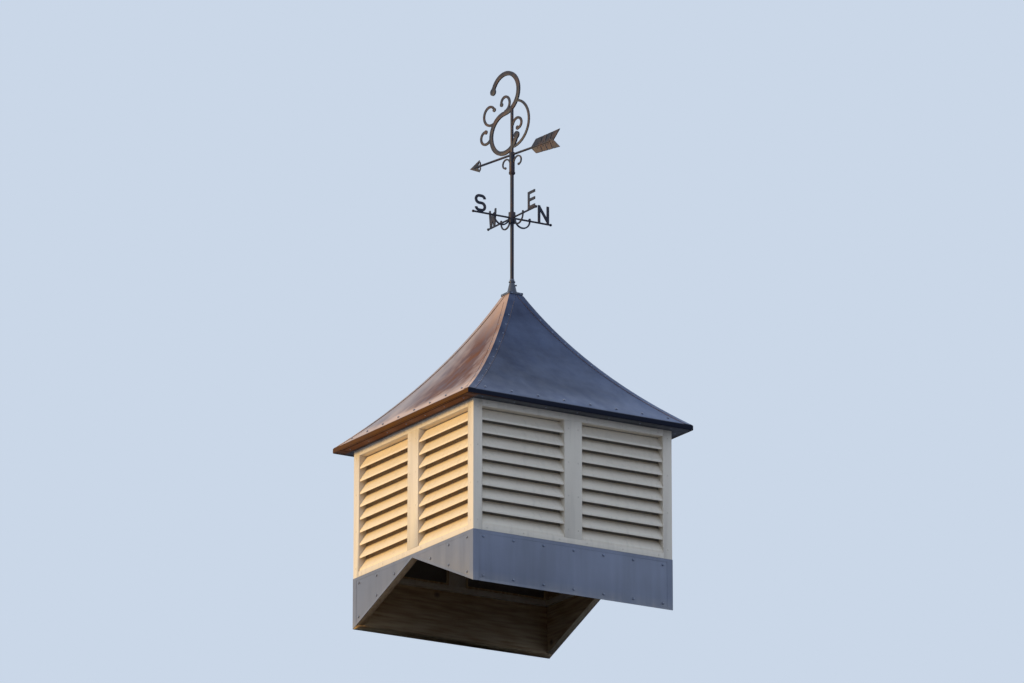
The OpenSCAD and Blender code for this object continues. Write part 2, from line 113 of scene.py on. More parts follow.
def hold(name, data):
    """Puts a mesh, a camera or a lamp in the scene as an object."""
    obj = bpy.data.objects.new(name, data)
    bpy.context.scene.collection.objects.link(obj)
    return obj


def linear(code, shade=1.0):
    """The linear colour of an sRGB hex code, made darker or paler by a factor."""
    parts = [int(code[i : i + 2], 16) / 255 for i in (1, 3, 5)]
    parts = [v / 12.92 if v <= 0.04045 else ((v + 0.055) / 1.055) ** 2.4 for v in parts]
    return [min(1.0, v * shade) for v in parts] + [1.0]


def add(tree, kind, *inputs, **named):
    """Adds a node with its settings and its links.

    Inputs come in the order that the node shows them, or by name with a capital letter, and
    settings by name in small letters. An input is a value, a hex colour, an output that it is
    linked from, or a node, which stands for the first output that it shows.
    """
    node = tree.nodes.new(kind)
    for name, value in named.items():
        if name[0].islower():
            setattr(node, name, value)
    pairs = list(zip([socket for socket in node.inputs if socket.enabled], inputs))
    pairs += [(node.inputs[name.replace("_", " ")], named[name]) for name in named if name[0].isupper()]
    for socket, value in pairs:
        if isinstance(value, bpy.types.Node):
            value = next(output for output in value.outputs if output.enabled)
        if isinstance(value, bpy.types.NodeSocket):
            tree.links.new(value, socket)
        elif str(value).startswith("#"):
            socket.default_value = linear(value)
        else:
            socket.default_value = value
    return node


def open_material(name):
    """A new material, its node tree, and where a point lies in the object's own metres."""
    material = bpy.data.materials.new(name)
    material.use_nodes = True
    tree = material.node_tree
    tree.nodes.clear()
    return material, tree, add(tree, "ShaderNodeTexCoord").outputs["Object"]


def close_material(material, relief, **looks):
    """Ends a material: a shader with these looks, and a relief (pattern, depth in mm, strength)."""
    tree = material.node_tree
    pattern, depth, strength = relief
    bump = add(tree, "ShaderNodeBump", Height=pattern, Distance=depth * MM, Strength=strength)
    add(tree, "ShaderNodeOutputMaterial", add(tree, "ShaderNodeBsdfPrincipled", Normal=bump, **looks))
    return material


def coats(tree, colour, *layers):
    """A colour with others over it, in their order, each an entry (how much of it, colour)."""
    for amount, layer in layers:
        colour = add(tree, "ShaderNodeMix", amount, colour, layer, data_type="RGBA")
    return colour


def mottle(tree, place, size, detail=4.0, rough=0.5):
    """A pattern of soft patches, as wide as the size in mm that is given for each axis."""
    per_metre = [1 / (width * MM) for width in size]
    scaled = add(tree, "ShaderNodeMapping", place, Scale=per_metre)
    return add(tree, "ShaderNodeTexNoise", scaled, Scale=1.0, Detail=detail, Roughness=rough)


def wave_scale(spacing):
    """The scale at which the bands of a wave texture stand this far apart."""
    return math.pi / 10 / spacing


print("helpers ready")

# %% [markdown]
# The camera comes first. The cupola stands high on a roof and is seen from the ground, so the
# camera looks up at it by 16.5 degrees, past its front left corner, from 39 metres away. A near
# camera with a short lens would fill the frame as well, but its upright edges would run together.
# From far away, through a long lens, they stay nearly parallel.

# %% Camera
VIEW_TURN = math.radians(-31.6)
VIEW_RISE = math.radians(-16.5)
VIEW_DISTANCE = 39.0
# Height that the frame covers at the cupola
VIEW_HEIGHT = 3.62
FRAME_W, FRAME_H = 1024, 683
SENSOR_W = 36
CLIP_END = 400

aim = (cad_box[0] + cad_box[1]) / 2
away = Vector((
    math.sin(VIEW_TURN) * math.cos(VIEW_RISE),
    -math.cos(VIEW_TURN) * math.cos(VIEW_RISE),
    math.sin(VIEW_RISE),
))
camera = hold("camera", bpy.data.cameras.new("camera"))
camera.location = aim + away * VIEW_DISTANCE
camera.rotation_euler = (-away).to_track_quat("-Z", "Y").to_euler()
camera.data.sensor_width = SENSOR_W
camera.data.lens = SENSOR_W * VIEW_DISTANCE / (VIEW_HEIGHT * FRAME_W / FRAME_H)
camera.data.clip_end = CLIP_END
bpy.context.scene.camera = camera
print("camera at", [round(v, 2) for v in camera.location], "lens", round(camera.data.lens), "mm")

# %% [markdown]
# The backdrop is pale, and gives an even, cool light of its own. One could be hung up as a sheet,
# but the world reaches all round. It looks one colour to the camera and in reflections, and
# lights the object with another, so that neither has to give way.

# %% Backdrop
BACKDROP = "#cad7e8"
FILL_LIGHT = (0.61, 0.73, 1.0, 1.0)
FILL_STRENGTH = 1.04

world = bpy.data.worlds.new("backdrop")
bpy.context.scene.world = world
world.use_nodes = True
sky = world.node_tree
sky.nodes.clear()
path = add(sky, "ShaderNodeLightPath").outputs
seen = add(sky, "ShaderNodeMath", path["Is Camera Ray"], path["Is Glossy Ray"], operation="MAXIMUM")
seen = add(sky, "ShaderNodeMath", seen, path["Is Transmission Ray"], operation="MAXIMUM")
fill = add(sky, "ShaderNodeBackground", FILL_LIGHT, FILL_STRENGTH)
backdrop = add(sky, "ShaderNodeBackground", BACKDROP, 1.0)
add(sky, "ShaderNodeOutputWorld", add(sky, "ShaderNodeMixShader", seen, fill, backdrop))
bpy.context.scene.view_settings.view_transform = "Standard"
print("backdrop ready")

# %% [markdown]
# Under it lies a pale floor, and one broad warm lamp stands low on the left. An area lamp would
# fade from the eave to the vane, and a sun lights both alike. The camera is lower than the floor,
# so the floor's underside lets the camera see through. To every other ray the floor is a mid
# grey, so that it lights the soffit from below only as softly as a roof would.

# %% Floor and lamp
FLOOR_REACH = 60.0
KEY_LIGHT = (1.0, 0.68, 0.26)
KEY_STRENGTH = 2.75
KEY_BREADTH = math.radians(14)
KEY_WAY = Vector((1.0, -0.22, -0.16))

# Matt emulsion on a studio floor
floor_paint, tree, _ = open_material("studio_floor_paint")
seen = add(tree, "ShaderNodeLightPath").outputs["Is Camera Ray"]
underside = add(tree, "ShaderNodeNewGeometry").outputs["Backfacing"]
hidden = add(tree, "ShaderNodeMath", seen, underside, operation="MULTIPLY")
paint = add(tree, "ShaderNodeBsdfDiffuse", coats(tree, "#8d9096", (seen, "#dcd6c8")))
clear = add(tree, "ShaderNodeBsdfTransparent")
add(tree, "ShaderNodeOutputMaterial", add(tree, "ShaderNodeMixShader", hidden, paint, clear))

mesh = bpy.data.meshes.new("floor")
mesh.from_pydata([corner * FLOOR_REACH for corner in CORNERS], [], [(0, 1, 2, 3)])
mesh.materials.append(floor_paint)
floor = hold("floor", mesh)

key = hold("key_lamp", bpy.data.lights.new("key_lamp", "SUN"))
key.data.energy = KEY_STRENGTH
key.data.color = KEY_LIGHT
key.data.angle = KEY_BREADTH
key.rotation_euler = KEY_WAY.to_track_quat("-Z", "Y").to_euler()
print("floor and lamp ready")

# %% [markdown]
# **Coil-coated sheet steel** wraps the base. It is painted flat at the mill and folded later, so
# the coat is smooth and semi-gloss. Thin sheet is never quite flat, rain leaves faint streaks
# down it, and dust gathers along the foot. A photograph of steel could be laid on it. Noise in
# the object's own metres needs none, and has no seams and no repeats.

# %% Painted steel
DUST_H = 60 * MM


def painted_steel(name, code, gloss):
    """Painted sheet: a soft sheen, faint streaks and waves, and a dusty foot."""
    material, tree, place = open_material(name)
    streak = mottle(tree, place, (45.45, 45.45, 625))
    wave = mottle(tree, place, (312.5, 312.5, 312.5), 3.0)
    both = add(tree, "ShaderNodeMath", streak, wave, operation="ADD")
    shade = add(tree, "ShaderNodeMapRange", both, 0.72, 1.28)
    height = add(tree, "ShaderNodeSeparateXYZ", place).outputs["Z"]
    foot = add(tree, "ShaderNodeMapRange", height, DUST_H, 0.0)
    dust = add(tree, "ShaderNodeMapRange", streak, 0.35, 0.65, 0.1, 0.5)
    dust = add(tree, "ShaderNodeMath", foot, dust, operation="MULTIPLY")
    return close_material(
        material,
        (wave, 4, 0.35),
        Base_Color=coats(tree, linear(code, 0.86), (shade, linear(code, 1.16)), (dust, "#9a958b")),
        Roughness=add(tree, "ShaderNodeMapRange", streak, 0.3, 0.7, gloss - 0.05, gloss + 0.09),
        Metallic=0.12,
        Coat_Weight=0.35,
        Coat_Roughness=0.3,
    )


# Coil-coated steel of the base and its trim, and the same paint baked on the screw heads
slate_steel = painted_steel("coil_coated_steel_slate", "#6c7280", 0.40)
dark_steel = painted_steel("coil_coated_steel_dark_slate", "#3a4252", 0.40)
screw_paint = painted_steel("baked_enamel_screw_slate", "#747d8f", 0.32)
print("made", slate_steel.name, dark_steel.name, screw_paint.name)

# %% [markdown]
# The **roof sheets** are metal with two looks painted into one material. A slate-blue skin of
# painted shade covers what faces away from the low warm lamp, and a coppery brown skin of painted
# sunlight covers the sides turned to the left and the back. Each sheet could get a material of its
# own. One material whose painted sunlit brown grows as a surface turns to the left and the back also
# runs on over the hip caps and their rolled edges.

# %% Which way a surface faces
# The way from which the painted sunlight falls, nearly the way the low warm lamp comes from
PAINTED_SUN_SIDE = Vector((-0.86, 0.50, 0.10))


def painted_sun_share(tree):
    """How far a surface is turned to the painted sunlight, from 0 to 1."""
    facing = add(tree, "ShaderNodeNewGeometry").outputs["Normal"]
    towards = add(tree, "ShaderNodeVectorMath", facing, PAINTED_SUN_SIDE, operation="DOT_PRODUCT")
    return add(tree, "ShaderNodeMapRange", towards, -0.05, 0.42, 0.02, 0.95)


def facing_up(tree):
    """How far a surface faces up: 1 where it lies level, 0 where it stands, -1 on an underside."""
    facing = add(tree, "ShaderNodeNewGeometry").outputs["Normal"]
    return add(tree, "ShaderNodeSeparateXYZ", facing).outputs["Z"]


# The painted sunlight comes from this way
print("the weather comes from", [round(v, 2) for v in PAINTED_SUN_SIDE])

# %% [markdown]
# Painted light follows the sheet's shape. Over the brown lies a greyish painted sky reflection
# towards one hip and a pale painted highlight towards the other and round the peak, a pale ragged
# band of painted reflection runs along the eave, and the drip edge is dark all round. It could be
# painted by hand on each sheet. Here each mark is a number from 0 to 1, worked out from the
# distance to the eave and the place between the two hips.

# %% Painted light and the drip edge of a roof sheet
eave_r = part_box("roof_panel_right")[1].x
# In from the eave: where each band starts to show, and where it is full
DRIP_BAND = (9 * MM, 5 * MM)
PAINTED_REFLECTION_BAND = (150 * MM, 50 * MM)
SLATE_REFLECTION_BAND = (200 * MM, 30 * MM)
RAGGED = 55 * MM
# Out from the middle: where the painted highlight round the peak starts to fade, and where it is gone
PEAK_HIGHLIGHT_BAND = (60 * MM, 240 * MM)


def on_sheet(tree, place):
    """How far out from the middle a point is, and its place from -1 on one hip to 1 on the other."""
    spot = add(tree, "ShaderNodeSeparateXYZ", place).outputs
    out_x, out_y = (add(tree, "ShaderNodeMath", spot[axis], operation="ABSOLUTE") for axis in "XY")
    far = add(tree, "ShaderNodeMath", out_x, out_y, operation="MAXIMUM")
    on_flank = add(tree, "ShaderNodeMath", out_x, out_y, operation="GREATER_THAN")
    along = add(tree, "ShaderNodeMix", on_flank, spot["X"], spot["Y"], data_type="FLOAT")
    return far, add(tree, "ShaderNodeMath", along, far, operation="DIVIDE")


def near_eave(tree, far, band, most=1.0):
    """How full a band along the eave is, so far out from the middle."""
    return add(tree, "ShaderNodeMapRange", far, eave_r - band[0], eave_r - band[1], 0.0, most)


def sheet_painted_light_and_drip(tree, place, cloud, patch):
    """Painted reflections and highlights and the darker drip edge by name, each from 0 to 1."""
    far, along = on_sheet(tree, place)
    shift = add(tree, "ShaderNodeMapRange", patch, 0.85, 1.05, -0.25, 0.25)
    along = add(tree, "ShaderNodeMath", along, shift, operation="ADD")
    # Painted highlight towards one hip and round the peak
    hip = add(tree, "ShaderNodeMapRange", along, -0.58, -1.15)
    peak = add(tree, "ShaderNodeMapRange", far, *PEAK_HIGHLIGHT_BAND, 1.0, 0.0)
    waver = add(tree, "ShaderNodeMapRange", cloud, 0.3, 0.7, -RAGGED, RAGGED)
    ragged = add(tree, "ShaderNodeMath", far, waver, operation="ADD")
    level = add(tree, "ShaderNodeMath", facing_up(tree), operation="ABSOLUTE")
    upright = add(tree, "ShaderNodeMapRange", level, 0.10, 0.22, 1.0, 0.0)
    drip = near_eave(tree, far, DRIP_BAND)
    # Painted sky reflection, painted highlight, painted reflections by the eave, and the drip edge
    return {
        "painted_sky_reflection": add(tree, "ShaderNodeMapRange", along, -0.05, 0.75),
        "painted_highlight": add(tree, "ShaderNodeMath", hip, peak, operation="MAXIMUM"),
        "painted_eave_reflection": near_eave(tree, ragged, PAINTED_REFLECTION_BAND),
        "painted_slate_eave_reflection": near_eave(tree, far, SLATE_REFLECTION_BAND, 0.3),
        "drip": add(tree, "ShaderNodeMath", upright, drip, operation="MAXIMUM"),
    }


print("eave at", round(eave_r, 3), "m from the middle")

# %% [markdown]
# A skin is a base colour with the colours of its marks over it, one after the other. They could
# be mixed in one long ramp, but as coats each can be changed by itself. The slate skin of painted
# shade has painted sky reflection: paler towards the right, where it lies flatter, and by the eave.
# The brown skin of painted sunlight has lost nearly all its shine down a sheet's middle, so that it
# doesn't mirror the pale backdrop there, and keeps some under its painted reflections and highlight.

# %% Skins of the roof metal


def shaded_slate_skin(tree, place, cloud, painted_light_and_drip):
    """The shaded skin: slate blue of painted shade, paler with painted sky reflection."""
    side = add(tree, "ShaderNodeSeparateXYZ", place).outputs["X"]
    # Painted sky reflection, paler towards the right, over random pale spots
    right = add(tree, "ShaderNodeMapRange", side, -0.35, 0.35, -0.35, 0.45)
    spots = add(tree, "ShaderNodeMapRange", cloud, 0.35, 0.65, 0.0, 0.6)
    spots_and_painted_reflection = add(tree, "ShaderNodeMath", right, spots, operation="ADD", use_clamp=True)
    # Painted sky reflection where the sheet lies nearly level
    flat = add(tree, "ShaderNodeMapRange", facing_up(tree), 0.80, 0.98, 0.0, 0.28)
    return coats(
        tree,
        "#182947",
        (spots_and_painted_reflection, "#4b5975"),
        (flat, "#a39c9c"),
        # Painted sky reflection by the eave, then the dark drip edge
        (painted_light_and_drip["painted_slate_eave_reflection"], "#76839e"),
        (painted_light_and_drip["drip"], "#141a27"),
    )


def sunlit_copper_skin(tree, streak, painted_light_and_drip):
    """The sunlit skin: coppery brown of painted low warm light, streaked down the sheet."""
    return coats(
        tree,
        "#56321e",
        (add(tree, "ShaderNodeMapRange", streak, 0.35, 0.65), "#6b4631"),
        # Painted sky reflection, painted highlight and painted eave reflection, then the drip edge
        (painted_light_and_drip["painted_sky_reflection"], "#a4948c"),
        (painted_light_and_drip["painted_highlight"], "#b8977f"),
        (painted_light_and_drip["painted_eave_reflection"], "#cdac90"),
        (painted_light_and_drip["drip"], "#5c3a0c"),
    )


def sheen_left(tree, brown, painted_light_and_drip):
    """How much of the slate skin's sheen is left: least down the middle of a brown sheet."""
    left = 0.03
    for kind, share in {"painted_sky_reflection": 1.0, "painted_highlight": 0.5, "painted_eave_reflection": 0.4}.items():
        kept = add(tree, "ShaderNodeMath", painted_light_and_drip[kind], share, operation="MULTIPLY")
        left = add(tree, "ShaderNodeMath", left, kept, operation="MAXIMUM")
    sheen = add(tree, "ShaderNodeMix", brown, 1.0, left, data_type="FLOAT")
    dull = add(tree, "ShaderNodeMapRange", painted_light_and_drip["drip"], 0.0, 1.0, 1.0, 0.2)
    return add(tree, "ShaderNodeMath", sheen, dull, operation="MULTIPLY")


def metal_painted_sun_and_shade(name):
    """Sheet metal with two painted skins, mixed by how far a surface faces the painted sunlight."""
    material, tree, place = open_material(name)
    streak = mottle(tree, place, (71.43, 71.43, 500), 5.0)
    cloud = mottle(tree, place, (222.2, 222.2, 222.2), 4.0, 0.6)
    both = add(tree, "ShaderNodeMath", streak, cloud, operation="ADD")
    patch = add(tree, "ShaderNodeMapRange", both, 0.75, 1.25, 0.85, 1.05)
    # Painted sunlight and shade: surfaces turned to the lamp get the sunlit brown skin, the rest the slate
    turned = painted_sun_share(tree)
    brown = add(tree, "ShaderNodeMath", turned, patch, operation="MULTIPLY", use_clamp=True)
    painted_light_and_drip = sheet_painted_light_and_drip(tree, place, cloud, patch)
    slate = shaded_slate_skin(tree, place, cloud, painted_light_and_drip)
    sunlit_copper = sunlit_copper_skin(tree, streak, painted_light_and_drip)
    sheen = sheen_left(tree, brown, painted_light_and_drip)
    return close_material(
        material,
        (cloud, 3, 0.3),
        Base_Color=coats(tree, slate, (brown, sunlit_copper)),
        Roughness=add(tree, "ShaderNodeMapRange", streak, 0.3, 0.7, 0.30, 0.46),
        Metallic=add(tree, "ShaderNodeMath", sheen, 0.40, operation="MULTIPLY"),
        Specular_IOR_Level=add(tree, "ShaderNodeMath", sheen, 0.3, operation="MULTIPLY"),
    )


# Rolled roofing sheet in painted sunlight and shade: satin, patchy, streaked down the slope
roof_metal = metal_painted_sun_and_shade("roof_sheet_painted_sun_and_shade")
print("made", roof_metal.name)

# %% [markdown]
# The louvred body is **painted trim board**. It is smooth and satin, a warm clay cream. Rain
# carries a little grime down the faces, dust settles on what faces up, and the paint keeps the
# fine stipple of a roller. On the thin louvre blades, the sides turned to the low warm lamp get a
# more golden colour of painted sunlight. One function makes all three, because only their colours differ.

# %% Painted trim board


def trim_board(name, code, painted_sunlit=None):
    """Acrylic paint on board, with a colour of painted sunlight where it faces the lamp, if one is given.
    """
    material, tree, place = open_material(name)
    streak = mottle(tree, place, (25, 25, 416.7))
    cloud = mottle(tree, place, (166.7, 166.7, 166.7))
    stipple = mottle(tree, place, (3.846, 3.846, 3.846), 2.0)
    dust = add(tree, "ShaderNodeMapRange", facing_up(tree), 0.2, 1.0, 0.0, 0.22)
    grime = add(tree, "ShaderNodeMapRange", streak, 0.52, 0.80, 0.0, 0.22)
    dirt = add(tree, "ShaderNodeMath", dust, grime, operation="ADD", use_clamp=True)
    coat = coats(tree, linear(code, 0.97), (cloud, linear(code, 1.05)))
    # Painted sunlight: the given colour covers what is turned to the low warm lamp
    if painted_sunlit:
        coat = coats(tree, coat, (painted_sun_share(tree), painted_sunlit))
    return close_material(
        material,
        (stipple, 0.3, 0.3),
        Base_Color=coats(tree, coat, (dirt, "#978d7a")),
        Roughness=add(tree, "ShaderNodeMapRange", cloud, 0.3, 0.7, 0.42, 0.56),
    )


# Clay-coloured acrylic on cellular trim board, and the darker filler over its nail holes
clay_trim = trim_board("painted_trim_board_clay", "#dccfb6")
clay_plug = trim_board("painted_nail_plug_clay", "#cfc2a9")
# The same acrylic on the louvre blades, more golden with painted sunlight
clay_blade = trim_board("painted_louvre_blade_clay", "#dccfb6", "#f2dcb2")
print("made", clay_trim.name, clay_plug.name, clay_blade.name)

# %% [markdown]
# Inside, the framing is **sawn softwood**. Its grain runs along each board, with darker knots here
# and there. Wood textures with perfect rings look turned rather than sawn, so the grain is noise
# stretched along the board, with bands about 13 mm apart.

# %% Sawn lumber
KNOT_SPACING = 222.2 * MM


def sawn_softwood(name, along):
    """Rough sawn wood, matt, with its grain along the axes that are named."""
    material, tree, place = open_material(name)
    grain = mottle(tree, place, [166.7 if axis in along else 13.33 for axis in "xyz"], 6.0)
    knot = add(tree, "ShaderNodeTexVoronoi", place, Scale=1 / KNOT_SPACING)
    knot = add(tree, "ShaderNodeMapRange", knot, 0.03, 0.10, 0.7, 0.0)
    dark = add(tree, "ShaderNodeMapRange", grain, 0.35, 0.65)
    return close_material(
        material,
        (grain, 1.0, 0.5),
        Base_Color=coats(tree, "#d2b98e", (dark, "#b39064"), (knot, "#6b4a30")),
        Roughness=0.8,
    )


# Softwood as it leaves the saw: matt and banded, with a knot here and there
lumber = {axes: sawn_softwood("sawn_softwood_" + axes, axes) for axes in ("x", "y", "z", "xy")}
print("made", len(lumber), "lumber finishes")

# %% [markdown]
# The soffit is dark board with a **beaded face**, scored every 50 mm along each board. The boards
# on the left and right lie between the other two, so they end at the width of the body, and the left
# ones are painted warm brown, as painted sunlight thrown up from the wall. The scores could be cut
# into the mesh. They are too fine to be seen from the ground, so bump is enough.

# %% Beaded soffit board
BEAD_SPACING = 50 * MM
FADE = 20 * MM


def beaded_board(name, code, painted_glow, turn_at):
    """Dark painted board with scores, with painted warm light and matt on the left, past the body's side.
    """
    material, tree, place = open_material(name)
    spot = add(tree, "ShaderNodeSeparateXYZ", place).outputs
    scale = wave_scale(BEAD_SPACING)
    beads_x, beads_y = (
        add(tree, "ShaderNodeTexWave", place, scale, bands_direction=axis).outputs["Fac"] for axis in "XY"
    )
    out_y = add(tree, "ShaderNodeMath", spot["Y"], operation="ABSOLUTE")
    across = add(tree, "ShaderNodeMath", out_y, turn_at, operation="GREATER_THAN")
    beads = add(tree, "ShaderNodeMix", across, beads_x, beads_y, data_type="FLOAT")
    flat = add(tree, "ShaderNodeMapRange", beads, 0.95, 1.0, 1.0, 0.0)
    # Painted light: warm brown on the left boards, as sunlight thrown up from the wall
    left = add(tree, "ShaderNodeMapRange", spot["X"], -turn_at, -turn_at - FADE)
    cloud = mottle(tree, place, (111.1, 111.1, 111.1))
    coat = coats(tree, code, (left, painted_glow))
    coat = coats(tree, coat, (cloud, coats(tree, coat, (0.12, "#ffffff"))))
    return close_material(
        material,
        (flat, 2, 0.8),
        Base_Color=coats(tree, "#14161a", (flat, coat)),
        Roughness=0.62,
        Specular_IOR_Level=add(tree, "ShaderNodeMapRange", left, 0.0, 1.0, 0.3, 0.0),
    )


body_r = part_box("base_cladding_front")[1].x
# Painted board, machined with beads: matt, with fine dark scores and painted warm light on the left
soffit_finish = beaded_board("beaded_soffit_board", "#1a1e25", "#70400a", body_r)
print("made", soffit_finish.name)

# %% [markdown]
# The weathervane is **forged iron under black paint**. Hammering leaves soft facets about 14 mm
# across, which smooth Voronoi cells copy better than noise does, and the paint has thinned to a
# brown sheen in places.

# %% Forged iron
FACET = 14 * MM


def forged_iron(name, worn_share):
    """Hammered iron: soft facets under satin paint, brown where it has worn."""
    material, tree, place = open_material(name)
    hammer = add(tree, "ShaderNodeTexVoronoi", place, Scale=1 / FACET, Smoothness=0.7, feature="SMOOTH_F1")
    worn = mottle(tree, place, (62.5, 62.5, 62.5), 5.0, 0.65)
    brown = add(tree, "ShaderNodeMapRange", worn, 0.46, 0.70, 0.0, worn_share)
    return close_material(
        material,
        (hammer, 1.2, 0.5),
        Base_Color=coats(tree, "#252a38", (brown, "#64493a")),
        Roughness=add(tree, "ShaderNodeMapRange", worn, 0.3, 0.7, 0.36, 0.58),
        Metallic=0.5,
    )


# Black oil paint over forge scale: the fixed parts are darker, and the turning ones more worn
iron = forged_iron("forged_iron_black_paint", 0.3)
worn_iron = forged_iron("forged_iron_worn_paint", 0.45)
print("made", iron.name, worn_iron.name)

# %% [markdown]
# **Galvanised wire** has the dull spangle of zinc, and the rubber washers and the sealant are
# plain and soft. All three are small in the picture, so two shades in grains of one size are
# enough, and one function makes them.

# %% Zinc wire, rubber and sealant


def plain_grainy(name, code, second, grain_size, rough, metal):
    """A small part's finish: two shades in grains of one size in mm, with a fine bump."""
    material, tree, place = open_material(name)
    grain = mottle(tree, place, [grain_size] * 3, 3.0)
    shade = add(tree, "ShaderNodeMapRange", grain, 0.35, 0.65)
    return close_material(
        material,
        (grain, 0.3, 0.4),
        Base_Color=coats(tree, code, (shade, second)),
        Roughness=add(tree, "ShaderNodeMapRange", grain, 0.3, 0.7, rough - 0.06, rough + 0.08),
        Metallic=metal,
    )


# Hot-dip galvanised guard wire: dull metal with a spangle
zinc_wire = plain_grainy("galvanised_screen_wire", "#6f757a", "#93989b", 9, 0.45, 0.7)
# Moulded rubber washers: black and matt
rubber = plain_grainy("moulded_epdm_washer", "#191a1c", "#26282b", 2, 0.75, 0.0)
# Silicone sealant, tooled by hand: grey, with a low gloss
sealant = plain_grainy("tooled_silicone_sealant", "#6d7480", "#7f8691", 12, 0.42, 0.0)
print("made", zinc_wire.name, rubber.name, sealant.name)

# %% [markdown]
# The screens are **woven fibreglass mesh**, whose threads stand 1.4 mm apart. Modelled threads
# would need millions of faces, so they are drawn on a solid pane. The real spacing is too fine to
# show, and they are drawn 4 mm apart, in the same share of thread and hole. The holes are painted
# with the shade of the dim space behind, and the screens turned to the lamp get painted sunlight.

# %% Woven insect mesh
THREAD_SPACING = 4 * MM


def woven_mesh(name):
    """Coated threads, dusty and matt, over painted shade of the dim space behind them."""
    material, tree, place = open_material(name)
    scale = wave_scale(THREAD_SPACING)
    level = 0.0
    for axis in "XYZ":
        wave = add(tree, "ShaderNodeTexWave", place, scale, bands_direction=axis).outputs["Fac"]
        level = add(tree, "ShaderNodeMath", level, wave, operation="MAXIMUM")
    thread = add(tree, "ShaderNodeMapRange", level, 0.6, 0.95)
    dust = mottle(tree, place, (142.9, 142.9, 333.3))
    # Painted sunlight: paler, golden threads and holes on the screens turned to the lamp
    painted_sunlight = painted_sun_share(tree)
    tone = coats(tree, "#a39a88", (dust, "#8c8474"), (painted_sunlight, "#e2bf8a"))
    # Painted shade: the holes take the colour of the dim space behind the pane
    painted_shade_hole = coats(tree, "#4a463f", (painted_sunlight, "#9c7c54"))
    return close_material(
        material,
        (thread, 0.8, 0.8),
        Base_Color=coats(tree, painted_shade_hole, (thread, tone)),
        Roughness=0.7,
    )


# Woven glass fibre in a vinyl coat: matt dusty threads over painted shade, with painted sunlight
mesh_finish = woven_mesh("woven_insect_mesh")
print("made", mesh_finish.name)

# %% [markdown]
# Real edges are never knife sharp. Each imported node gets a copy whose loose triangles are merged
# and whose edges are eased by the radius of its trade: a plane takes 2 to 3 mm off a board, a
# folding brake leaves half a millimetre on sheet, and a file about one on iron. The edges could
# be rounded in the shader alone, but a bevel in the mesh also shows in the outline. A board's
# short edges stay sharp, because they meet other boards.

# %% Helpers for pieces
SHARP = math.radians(24)
COPLANAR = math.radians(0.4)
TOUCHING = 0.01 * MM


def evaluated(obj):
    """What an object's modifiers make of it, as a plain mesh."""
    return bpy.data.meshes.new_from_object(obj.evaluated_get(bpy.context.evaluated_depsgraph_get()))


def piece(name, mesh, body, material):
    """Links a finished mesh, which then rides on its body."""
    mesh.name = name
    mesh.materials.clear()
    mesh.materials.append(material)
    obj = hold(name, mesh)
    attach(obj, body)
    return obj


def bevelled(shape, radius, shortest, steps=3, smooth=True):
    """A mesh of a bmesh, with its sharp edges rounded where they are long enough."""
    weight = shape.edges.layers.float.new("bevel_weight_edge")
    for face in shape.faces:
        face.smooth = smooth
    for edge in shape.edges:
        if edge.calc_face_angle(0) > SHARP:
            long_enough = edge.calc_length() >= shortest
            edge[weight] = float(long_enough)
            edge.smooth = long_enough
    mesh = bpy.data.meshes.new("eased")
    shape.to_mesh(mesh)
    shape.free()
    holder = hold("eased", mesh)
    modifier = holder.modifiers.new("ease", "BEVEL")
    modifier.limit_method = "WEIGHT"
    modifier.width = radius
    modifier.segments = steps
    modifier.harden_normals = smooth
    result = evaluated(holder)
    bpy.data.objects.remove(holder)
    return result


def merged(node):
    """A bmesh of a node, its loose triangles joined and its flat faces whole."""
    shape = bmesh.new()
    shape.from_mesh(frame["nodes"][node].data)
    bmesh.ops.remove_doubles(shape, verts=shape.verts, dist=TOUCHING)
    bmesh.ops.dissolve_limit(shape, angle_limit=COPLANAR, verts=shape.verts, edges=shape.edges)
    return shape


print("edges sharper than", round(math.degrees(SHARP)), "degrees are eased")

# %% [markdown]
# One table says what each trade does to its pieces, so that a change of radius or finish is made
# in one place. The insect screens are flat panes behind the blades, and only get their finish.

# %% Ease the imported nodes
# Start of the node's name: finish, material slot, edge radius and shortest eased edge in mm
TRADES = {
    "base_board_front": (lumber["x"], "sawn_lumber", 3.0, 100),
    "base_board_back": (lumber["x"], "sawn_lumber", 3.0, 100),
    "base_board": (lumber["y"], "sawn_lumber", 3.0, 100),
    "base_cladding": (slate_steel, "painted_steel", 0.5, 100),
    "corner_post": (clay_trim, "cellular_pvc", 2.5, 150),
    "mullion": (clay_trim, "cellular_pvc", 2.5, 150),
    "bottom_rail": (clay_trim, "cellular_pvc", 2.0, 150),
    "head_rail": (clay_trim, "cellular_pvc", 2.0, 150),
    "louvres": (clay_blade, "cellular_pvc", 2.0, 100),
    "soffit_boards": (soffit_finish, "soffit_board", 1.5, 300),
    "roof_panel": (roof_metal, "painted_steel", 0.8, 300),
    "hip_caps": (roof_metal, "painted_steel", 0.5, 20),
    "hip_rafters": (lumber["xy"], "sawn_lumber", 2.0, 25),
    "common_rafters": (lumber["xy"], "sawn_lumber", 2.0, 25),
    "king_post": (lumber["z"], "sawn_lumber", 3.0, 50),
    "roof_cap": (dark_steel, "painted_steel", 0.6, 8),
    "vane_rod": (iron, "black_iron", 0.8, 0),
    "compass": (iron, "black_iron", 0.8, 0),
    "vane": (worn_iron, "black_iron", 1.0, 0),
}


def trade_of(node):
    """The first row of the table that fits a node's name."""
    return next(trade for start, trade in TRADES.items() if node.startswith(start))


